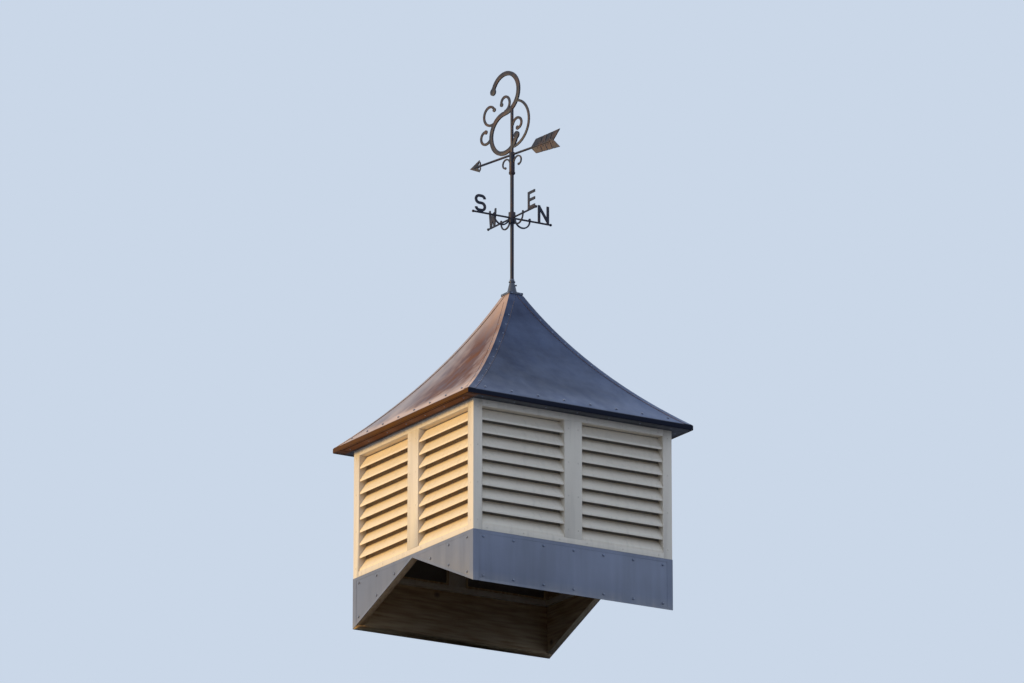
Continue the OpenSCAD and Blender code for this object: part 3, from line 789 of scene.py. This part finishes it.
faces = 0
for name, node in frame["nodes"].items():
    if name == "insect_screens":
        node.data.materials.clear()
        node.data.materials.append(mesh_finish)
        continue
    finish, slot, radius, shortest = trade_of(name)
    mesh = bevelled(merged(name), radius * MM, shortest * MM)
    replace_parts(piece("eased_" + name, mesh, body_of(node)[0], finish), name)
    faces += len(mesh.polygons)
print("eased", len(frame["nodes"]) - 1, "nodes,", faces, "faces")

# %% [markdown]
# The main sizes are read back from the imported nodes, so that the dressing follows them. They
# could be typed in again, but then a change of the model would leave screws in the air. A place on
# a wall is written as a distance along it and a height, and a ray finds it on a curve.

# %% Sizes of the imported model
base_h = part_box("base_board_front")[1].z
soffit_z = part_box("soffit_boards")[0].z
post_in = -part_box("corner_post_front_left")[1].x
post_w = body_r - post_in
mullion_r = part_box("mullion_front")[1].x
rail_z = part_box("bottom_rail_front")[1].z
head_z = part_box("head_rail_front")[0].z
screen_in = body_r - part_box("insect_screens")[1].x
cap_low, cap_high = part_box("roof_cap")
compass_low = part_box("compass_arms")[0]
surfaces = {
    name: BVHTree.FromPolygons([v.co for v in node.data.vertices], [p.vertices for p in node.data.polygons])
    for name, node in frame["nodes"].items()
}
# A height above the whole cupola, and a little way into a board from its face
OVERHEAD = 9.0
INTO_BOARD = 10 * MM


def on_wall(side, along, height, out=0.0):
    """A point on a wall of the square body, so far along it, so high, and so far out from it."""
    way = SIDES[side]
    return way * (body_r + out) + UP.cross(way) * along + UP * height


def land(node, start, way):
    """Where a ray meets a node, and which way the node faces there."""
    spot, facing, _, _ = surfaces[node].ray_cast(Vector(start), Vector(way))
    return spot, facing


def drop(node, place):
    """Where a ray straight down over a place meets a node, and which way the node faces there."""
    return land(node, place + UP * OVERHEAD, -UP)


def spread(low, high, step):
    """Evenly spaced places from low to high, about a step apart."""
    count = max(1, round(abs(high - low) / step))
    return [low + (high - low) * i / count for i in range(count + 1)]


notch_z = land("base_board_left", (-body_r + INTO_BOARD, 0, -1), UP)[0].z


def foot_z(side, along):
    """Height of the base's lower edge: level in front and behind, notched on the two flanks."""
    return 0.0 if side in ("front", "back") else notch_z * max(0.0, 1 - abs(along) / body_r)


print("base", round(base_h, 3), "soffit", round(soffit_z, 3), "notch", round(notch_z, 3))

# %% [markdown]
# The base's cladding is finished with folded strips of the same steel: a corner fold at each
# upright edge, a hem along the foot, and a flashing under the bottom rail. They could be bent from
# a sheet step by step. Each is less than a millimetre proud of the wall, so a plate with the
# strip's outline and eased edges looks the same.

# %% Folded strips on the base
STRIP_T = 0.9 * MM
CORNER_W = 34 * MM
HEM_H = 14 * MM
FLASH_H = 18 * MM
JOINT = 0.6 * MM
STRIP_EASE = 0.35 * MM
HEM_EASE = 0.4 * MM


def add_plate(shape, side, outline, low_out, high_out):
    """Adds a plate to a bmesh: an outline of (along, height), between two distances out."""
    near = [shape.verts.new(on_wall(side, a, h, low_out)) for a, h in outline]
    far = [shape.verts.new(on_wall(side, a, h, high_out)) for a, h in outline]
    shape.faces.new(reversed(near))
    shape.faces.new(far)
    for i in range(len(outline)):
        j = (i + 1) % len(outline)
        shape.faces.new((near[i], near[j], far[j], far[i]))


def strips(name, outlines, low_out, high_out, radius, finish):
    """One piece made of many plates, each an entry (side, outline)."""
    shape = bmesh.new()
    for side, outline in outlines:
        add_plate(shape, side, outline, low_out, high_out)
    return piece(name, bevelled(shape, radius, 0, 2, smooth=False), "root", finish)


def oblong(a0, a1, low, high):
    """Outline of an upright rectangle."""
    return [(a0, low), (a1, low), (a1, high), (a0, high)]


def hem(side, a0, a1):
    """Outline of a band that keeps its height over the base's foot, bent at the notch."""
    turns = [a0, 0.0, a1] if foot_z(side, 0) else [a0, a1]
    foot = [(a, foot_z(side, a)) for a in turns]
    return foot + [(a, low + HEM_H) for a, low in reversed(foot)]


def corner_fold(side, turn):
    """Outline of a fold's half on one wall, lapped over the next wall in front and behind."""
    lap = STRIP_T if side in ("front", "back") else 0.0
    a0, a1 = sorted((turn * (body_r + lap), turn * (body_r - CORNER_W)))
    top = base_h - JOINT
    return [(a0, foot_z(side, a0)), (a1, foot_z(side, a1)), (a1, top), (a0, top)]


corners, hems, flashings = [], [], []
run = body_r - CORNER_W - JOINT
# On the flanks a flashing stops where the hem rises to it, beside the ridge
stop = body_r * (1 - (base_h - FLASH_H - HEM_H - JOINT) / notch_z)
for side in SIDES:
    corners += [(side, corner_fold(side, turn)) for turn in (-1, 1)]
    hems.append((side, hem(side, -run, run)))
    spans = [(-run, run)] if side in ("front", "back") else [(-run, -stop), (stop, run)]
    flashings += [(side, oblong(a0, a1, base_h - FLASH_H, base_h - JOINT)) for a0, a1 in spans]
strips("base_corner_folds", corners, 0.0, STRIP_T, STRIP_EASE, slate_steel)
strips("base_foot_hems", hems, 0.0, STRIP_T, HEM_EASE, slate_steel)
strips("base_sill_flashings", flashings, 0.0, STRIP_T, STRIP_EASE, slate_steel)
print("strips on the base:", len(corners) + len(hems) + len(flashings))

# %% [markdown]
# Square battens hold the edges of the screens inside the openings, one frame behind each panel.
# They are plates as well, thicker ones, so the same function makes them.

# %% Battens behind the screens
BATTEN = 10 * MM
BATTEN_EASE = 0.8 * MM
# From a screen's outer face to the front of its battens
BATTEN_BEHIND = 1.6 * MM


def openings():
    """The two openings of each side: the side, and where they start and end along it."""
    for side in SIDES:
        for a0, a1 in ((-post_in, -mullion_r), (mullion_r, post_in)):
            yield side, a0 + JOINT, a1 - JOINT


frames = []
for side, a0, a1 in openings():
    for low, high in ((rail_z + JOINT, rail_z + BATTEN), (head_z - BATTEN, head_z - JOINT)):
        frames.append((side, oblong(a0, a1, low, high)))
    for left, right in ((a0, a0 + BATTEN), (a1 - BATTEN, a1)):
        frames.append((side, oblong(left, right, rail_z + BATTEN + JOINT, head_z - BATTEN - JOINT)))
front = -screen_in - BATTEN_BEHIND
strips("screen_battens", frames, front - BATTEN, front, BATTEN_EASE, lumber["z"])
print("battens:", len(frames))

# %% [markdown]
# What repeats or follows a path is grown by **Geometry Nodes**. A loop could copy the screws one
# by one. In a tree, one model and a list of places are enough. Each tree ends by making its
# copies real, and what it grows is kept as one plain mesh, because the export drops instances.

# %% Helpers for Geometry Nodes


def geometry_tree(name, **inputs):
    """A Geometry Nodes tree with named inputs, and the outputs of its input node."""
    tree = bpy.data.node_groups.new(name, "GeometryNodeTree")
    for label, kind in {"Geometry": "Geometry", **inputs}.items():
        tree.interface.new_socket(label, in_out="INPUT", socket_type="NodeSocket" + kind)
    tree.interface.new_socket("Geometry", in_out="OUTPUT", socket_type="NodeSocketGeometry")
    return tree, add(tree, "NodeGroupInput").outputs


def close_tree(tree, geometry, finish):
    """Ends a tree: its copies are made real and get their finish."""
    real = add(tree, "GeometryNodeRealizeInstances", geometry)
    done = add(tree, "GeometryNodeSetMaterial", real, Material=finish)
    add(tree, "NodeGroupOutput", Geometry=done)


def grow(name, tree, points, body, slot, edges=(), facings=(), **values):
    """Runs a tree on points or edges, and keeps what it makes as one plain piece."""
    mesh = bpy.data.meshes.new(name)
    mesh.from_pydata(points, edges, [])
    if facings:
        mark = mesh.attributes.new("facing", "FLOAT_VECTOR", "POINT")
        mark.data.foreach_set("vector", [v for facing in facings for v in facing])
    holder = hold(name + "_source", mesh)
    modifier = holder.modifiers.new("grow", "NODES")
    modifier.node_group = tree
    for item in tree.interface.items_tree:
        if item.in_out == "INPUT" and item.name in values:
            modifier[item.identifier] = values[item.name]
    made = evaluated(holder)
    bpy.data.objects.remove(holder)
    print(name, len(made.polygons), "faces")
    return piece(name, made, body, values["Finish"])


print("helpers ready")

# %% [markdown]
# The first tree sets a fastener on each point, stands it on the surface and turns it by a random
# angle of fixed seed. On a real roof no two screw heads stop at the same angle. The second sweeps
# a round bead along the edges that it is given, for wires, sealant, rolled hems and welds.

# %% Geometry Nodes trees
fasten, given = geometry_tree("set_fasteners", Fastener="Object", Seed="Int", Finish="Material")
facing = add(fasten, "GeometryNodeInputNamedAttribute", "facing", data_type="FLOAT_VECTOR")
upright = add(fasten, "FunctionNodeAlignRotationToVector", Vector=facing, axis="Z")
angle = add(fasten, "FunctionNodeRandomValue", 0.0, math.tau, Seed=given["Seed"], data_type="FLOAT")
spin = add(fasten, "ShaderNodeCombineXYZ", Z=angle)
spin = add(fasten, "FunctionNodeEulerToRotation", spin)
turn_by = add(fasten, "FunctionNodeRotateRotation", upright, spin, rotation_space="LOCAL")
model = add(fasten, "GeometryNodeObjectInfo", given["Fastener"]).outputs["Geometry"]
copies = add(
    fasten, "GeometryNodeInstanceOnPoints", given["Geometry"], Instance=model, Rotation=turn_by
)
close_tree(fasten, copies, given["Finish"])

sweep, given = geometry_tree("sweep_bead", Radius="Float", Sides="Int", Finish="Material")
line = add(sweep, "GeometryNodeMeshToCurve", given["Geometry"])
ring = add(sweep, "GeometryNodeCurvePrimitiveCircle", given["Sides"], given["Radius"])
bead = add(sweep, "GeometryNodeCurveToMesh", line, ring, Fill_Caps=True)
smooth = add(sweep, "GeometryNodeSetShadeSmooth", bead)
close_tree(sweep, smooth, given["Finish"])
print("trees:", fasten.name, len(fasten.nodes), "nodes,", sweep.name, len(sweep.nodes), "nodes")

# %% [markdown]
# The fasteners are turned shapes of a few dozen faces each: a rubber washer, a hexagon head with
# its flange, a domed rivet, a filled nail hole, and a square-headed set screw. Ready-made cylinders
# would need their rims eased. An outline spun round has the dome or the rim in it already.

# %% Models of the fasteners
CREASE = math.radians(32)


def ring_round(radius, height, count):
    """Points evenly round the Z axis, or a single one where the radius is nothing."""
    turns = [math.tau * k / count for k in range(count if radius else 1)]
    return [Vector((radius * math.cos(turn), radius * math.sin(turn), height)) for turn in turns]


def add_turned(shape, outline, sides):
    """Adds a turned shape to a bmesh: an outline of (radius, height) in mm, round the Z axis."""
    rows = [
        [shape.verts.new(point) for point in ring_round(radius * MM, height * MM, sides)]
        for radius, height in outline
    ]
    for low, high in zip(rows, rows[1:]):
        for k in range(sides):
            j = (k + 1) % sides
            tops = (high[j], high[k]) if len(high) > 1 else (high[0],)
            shape.faces.new((low[k], low[j], *tops))


def fastener(name, *parts):
    """A model of a fastener to copy, made of turned parts: (sides, outline) each."""
    shape = bmesh.new()
    for sides, outline in parts:
        add_turned(shape, outline, sides)
    for face in shape.faces:
        face.smooth = True
    for edge in shape.edges:
        edge.smooth = edge.calc_face_angle(0) < CREASE
    mesh = bpy.data.meshes.new(name)
    shape.to_mesh(mesh)
    shape.free()
    return hold(name, mesh)


washer = fastener("model_washer", (16, [(7.0, 0.0), (7.2, 0.7), (6.6, 1.3), (0, 1.3)]))
hex_head = fastener(
    "model_hex_head",
    (16, [(6.4, 1.2), (6.4, 1.8), (5.6, 2.3), (0, 2.3)]),
    (6, [(4.7, 2.2), (4.7, 5.4), (3.9, 6.0), (0, 6.0)]),
)
rivet = fastener("model_rivet", (12, [(4.2, 0.0), (4.0, 0.7), (3.0, 1.4), (1.5, 1.7), (0, 1.8)]))
plug = fastener("model_plug", (14, [(4.6, 0.0), (4.4, 0.3), (0, 0.4)]))
set_screw = fastener(
    "model_set_screw",
    (12, [(3.2, -1.0), (3.2, 3.0), (0, 3.0)]),
    (4, [(5.0, 2.6), (5.0, 7.4), (4.3, 8.0), (0, 8.0)]),
)
models = (washer, hex_head, rivet, plug, set_screw)
print("models:", [(model.name, len(model.data.polygons)) for model in models])

# %% [markdown]
# Where they go follows the trade. Screws hold the cladding every 190 mm along its foot and its
# top, and the roof sheets every 170 mm along the eave. Filled nail holes show where the trim is
# fixed. They could be scattered by a tree, but real ones stand in rows, so rows are spread evenly
# between their two ends.

# %% Places of the screws and nails
CLADDING_STEP = 190 * MM
SHEET_STEP = 170 * MM
SOFFIT_STEP = 210 * MM
NAIL_STEP = 205 * MM
MULLION_NAIL_STEP = 175 * MM
# In from the edges of the cladding, the trim, the mullions, the sheets and the soffit
CLADDING_END, CLADDING_FOOT, CLADDING_TOP = 60 * MM, 30 * MM, 34 * MM
NAIL_FOOT, NAIL_HEAD, NAIL_END = 50 * MM, 45 * MM, 30 * MM
SHEET_END, SHEET_EDGE = 130 * MM, 42 * MM
SOFFIT_END = 30 * MM
# The least between the two rows of screws on the cladding
ROW_GAP = 40 * MM
# The two rivets on each side of the cap
CAP_RIVET_OUT, CAP_RIVET_UP = 26 * MM, 5 * MM

screws, rivets, plugs, soffit_screws = [], [], [], []
for side, way in SIDES.items():
    lane = UP.cross(way)
    for a in spread(CLADDING_END - body_r, body_r - CLADDING_END, CLADDING_STEP):
        low, high = foot_z(side, a) + CLADDING_FOOT, base_h - CLADDING_TOP
        if low < high:
            screws.append((on_wall(side, a, low), way))
        if low + ROW_GAP < high:
            screws.append((on_wall(side, a, high), way))
    for turn in (-1, 1):
        for h in spread(base_h + NAIL_FOOT, soffit_z - NAIL_HEAD, NAIL_STEP):
            plugs.append((on_wall(side, turn * (body_r - post_w / 2), h), way))
        for h in spread(rail_z + NAIL_HEAD, head_z - NAIL_HEAD, MULLION_NAIL_STEP):
            plugs.append((on_wall(side, turn * NAIL_END, h), way))
        for a in spread(turn * (mullion_r + NAIL_END), turn * (post_in - NAIL_END), NAIL_STEP):
            plugs.append((on_wall(side, a, (base_h + rail_z) / 2), way))
            plugs.append((on_wall(side, a, (head_z + soffit_z) / 2), way))
    for a in spread(SHEET_END - eave_r, eave_r - SHEET_END, SHEET_STEP):
        screws.append(drop("roof_panel_" + side, way * (eave_r - SHEET_EDGE) + lane * a))
    for a in spread(SOFFIT_END - body_r, body_r - SOFFIT_END, SOFFIT_STEP):
        soffit_screws.append((way * (body_r + eave_r) / 2 + lane * a + UP * soffit_z, -UP))
    for a in (-CAP_RIVET_OUT, CAP_RIVET_OUT):
        rivets.append(land("roof_cap", way + lane * a + UP * (cap_low.z + CAP_RIVET_UP), -way))
print("screws", len(screws), "plugs", len(plugs), "soffit", len(soffit_screws))

# %% [markdown]
# Rivets hold both wings of each hip cap every 95 mm. Even steps on the plan would draw apart where
# the roof grows steep, so each step is shortened by the slope that the last ray met.

# %% Places of the rivets
RIVET_STEP = 95 * MM
RIVET_OUT = 21 * MM
# In from the corner of the eave, and out from the corner of the cap
RIVET_FIRST = 70 * MM
RIVET_LAST = 40 * MM
eave_corner = eave_r * math.sqrt(2)
cap_corner = cap_high.x * math.sqrt(2)

for corner in CORNERS:
    down = corner.normalized()
    across = UP.cross(down)
    reach = eave_corner - RIVET_FIRST
    while reach > cap_corner + RIVET_LAST:
        for turn in (-1, 1):
            spot, facing = drop("hip_caps", down * reach + across * turn * RIVET_OUT)
            rivets.append((spot, facing))
        fall = facing.dot(down) / facing.z
        reach -= RIVET_STEP / math.sqrt(1 + fall * fall)
print("rivets", len(rivets))

# %% [markdown]
# A washer and the screw head on it stand at the same place, but are two pieces, because they are
# rubber and painted steel. Two set screws hold the compass to the rod and the rod in its collar.

# %% Set the fasteners
HUB_SCREW_UP = 22 * MM
COLLAR_SCREW_DOWN = 34 * MM


def set_all(name, places, model, finish, body="root", slot="painted_steel", seed=1):
    """One piece of a fastener's copies, at places of (spot, facing)."""
    spots, facings = zip(*places)
    return grow(name, fasten, spots, body, slot, facings=facings, Fastener=model, Seed=seed, Finish=finish)


set_all("screw_washers", screws, washer, rubber)
set_all("screw_heads", screws, hex_head, screw_paint, seed=2)
set_all("sheet_rivets", rivets, rivet, screw_paint, seed=3)
set_all("nail_plugs", plugs, plug, clay_plug, slot="cellular_pvc", seed=4)
set_all("soffit_screws", soffit_screws, rivet, screw_paint, seed=5)

on_hub = land("compass_arms", (1, 1, compass_low.z + HUB_SCREW_UP), (-1, -1, 0))
on_collar = land("roof_cap", (1, -1, cap_high.z - COLLAR_SCREW_DOWN), (-1, 1, 0))
set_all("fixed_set_screws", [on_hub, on_collar], set_screw, iron, slot="black_iron", seed=6)
print("fasteners set")

# %% [markdown]
# The arrow's plates are riveted to its shaft, one pair near the point and four along the tail.
# The vane stands in one upright plane, and the tips of its tail show which way that plane runs.

# %% Rivets on the arrow
# Along the arrow from the rod in mm, towards the tail, and up and down from the shaft's middle
ARROW_RIVETS = (-297, 212, 258, 297, 336)
ARROW_RIVET_UP = 13 * MM

arrow = frame["nodes"]["vane_arrow"].data.vertices
tail = max((v.co for v in arrow), key=lambda v: v.x * v.x + v.y * v.y)
downwind = Vector((tail.x, tail.y, 0)).normalized()
shaft_z = sum(corner.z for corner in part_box("vane_arrow")) / 2
arrow_rivets = []
for reach in ARROW_RIVETS:
    for rise in (-ARROW_RIVET_UP, ARROW_RIVET_UP):
        for look in (-UP.cross(downwind), UP.cross(downwind)):
            start = downwind * reach * MM + UP * (shaft_z + rise) - look
            spot, facing = land("vane_arrow", start, look)
            if spot:
                arrow_rivets.append((spot, facing))
set_all("arrow_rivets", arrow_rivets, rivet, worn_iron, body="vane", slot="black_iron", seed=7)
print("rivets on the arrow:", len(arrow_rivets))

# %% [markdown]
# Behind the blades, galvanised wires 6.35 mm apart guard each screen. They could be drawn on the
# pane as the mesh is, but they stand in front of it and catch the light, so each wire is swept,
# with only four sides. The upright wires lie just over the level ones.

# %% Guard wires
WIRE = 0.8 * MM
WIRE_SPACING = 6.35 * MM


def sweep_lines(name, paths, radius, sides, finish, slot, body="root", closed=False):
    """One piece of round beads along several paths."""
    points, edges = [], []
    for path in paths:
        first = len(points)
        points += path
        edges += [(i, i + 1) for i in range(first, len(points) - 1)]
        if closed:
            edges.append((len(points) - 1, first))
    return grow(name, sweep, points, body, slot, edges, Radius=radius, Sides=sides, Finish=finish)


wires = []
over = -screen_in + 1.1 * WIRE
under = over - 0.7 * WIRE
for side, a0, a1 in openings():
    low, high = rail_z + JOINT, head_z - JOINT
    for a in spread(a0, a1, WIRE_SPACING):
        wires.append([on_wall(side, a, low, over), on_wall(side, a, high, over)])
    for h in spread(low, high, WIRE_SPACING):
        wires.append([on_wall(side, a0, h, under), on_wall(side, a1, h, under)])
sweep_lines("screen_guard_wires", wires, WIRE / 2, 4, zinc_wire, "insect_mesh")
print("wires:", len(wires))

# %% [markdown]
# Thin sheet is rolled over at its edges, which makes it stiff and safe to touch. One roll runs
# round the foot of the drip edge, and one down each side of a hip cap. The sheet's own edge could
# be curled. A bead swept along it looks the same, and on the caps rays find the edge's curve.

# %% Rolled edges of the roof
DRIP_ROLL_R = 1.9 * MM
DRIP_ROLL_DROP = 1.0 * MM
DRIP_ROLL_IN = 0.1 * MM
CAP_ROLL_R = 1.5 * MM
CAP_ROLL_OUT = 28.5 * MM
CAP_ROLL_STEP = 38 * MM
# In from the corner of the eave, and out from the corner of the cap
CAP_ROLL_FIRST = 34 * MM
CAP_ROLL_LAST = 8 * MM

edge_r = eave_r - DRIP_ROLL_R - DRIP_ROLL_IN
rim = [corner * edge_r + UP * (soffit_z - DRIP_ROLL_DROP) for corner in CORNERS]
sweep_lines("drip_edge_roll", [rim], DRIP_ROLL_R, 10, roof_metal, "painted_steel", closed=True)

rolls = []
for corner in CORNERS:
    down = corner.normalized()
    across = UP.cross(down)
    for turn in (-1, 1):
        reaches = spread(eave_corner - CAP_ROLL_FIRST, cap_corner + CAP_ROLL_LAST, CAP_ROLL_STEP)
        places = [down * reach + across * turn * CAP_ROLL_OUT for reach in reaches]
        spots = [drop("hip_caps", place)[0] for place in places]
        rolls.append([spot for spot in spots if spot])
sweep_lines("hip_cap_rolls", rolls, CAP_ROLL_R, 8, roof_metal, "painted_steel")
print("rolls:", 1 + len(rolls))

# %% [markdown]
# Sealant keeps the rain out round the collar's foot and where the rod comes out of it. A weld
# stands on each side of each stroke of a compass letter, and two rings are forged round the
# turning sleeve. All are beads on short paths, so the same tree makes them.

# %% Sealant, welds and rings
BEAD_R = 2.0 * MM
RING_R = 2.2 * MM
RING_SIDES = 40
# Over the cap's foot: the sealant, and a place on the collar's own side
SEAL_UP = 12.6 * MM
COLLAR_UP = 14 * MM
SEAL_OUT = 1.2 * MM
# Over the sleeve's lower end: the rings, and a place on the sleeve's own side
RINGS_UP = (5 * MM, 11 * MM)
SLEEVE_UP = 6 * MM
RING_OUT = 0.4 * MM
# From the middle of each letter to its strokes, in mm
STROKES = {"front": (-27, 27), "right": (-27, 27), "back": (-17, 17), "left": (-9, 9)}
LETTER_HALF_W = 35 * MM
LETTER_HALF_T = 3.0 * MM
WELD_HALF_L = 6 * MM

collar_r = land("roof_cap", (1, 0, cap_low.z + COLLAR_UP), (-1, 0, 0))[0].x
rod_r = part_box("vane_rod")[1].x
beads = [
    ring_round(collar_r, cap_low.z + SEAL_UP, RING_SIDES),
    ring_round(rod_r + SEAL_OUT, cap_high.z, RING_SIDES),
]
sweep_lines("collar_sealant", beads, BEAD_R, 8, sealant, "painted_steel", closed=True)

letters_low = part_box("compass_letters")[0]
letter_mid = -letters_low.y - LETTER_HALF_W
welds = []
for side, strokes in STROKES.items():
    way, lane = SIDES[side], UP.cross(SIDES[side])
    for stroke in strokes:
        for turn in (-1, 1):
            foot = way * (letter_mid + stroke * MM) + lane * turn * LETTER_HALF_T + UP * letters_low.z
            welds.append([foot - way * WELD_HALF_L, foot + way * WELD_HALF_L])
sweep_lines("letter_welds", welds, BEAD_R, 8, iron, "black_iron")

sleeve_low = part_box("vane_sleeve")[0]
sleeve_r = land("vane_sleeve", (1, 0, sleeve_low.z + SLEEVE_UP), (-1, 0, 0))[0].x
rings = [ring_round(sleeve_r + RING_OUT, sleeve_low.z + h, RING_SIDES) for h in RINGS_UP]
sweep_lines("sleeve_rings", rings, RING_R, 8, worn_iron, "black_iron", body="vane", closed=True)
print("beads", len(beads), "welds", len(welds), "rings", len(rings))

# %% [markdown]
# The models of the fasteners have been copied and are taken away. The dressing must not make it
# larger.

# %% Take away the models of the fasteners
for model in models:
    bpy.data.objects.remove(model)
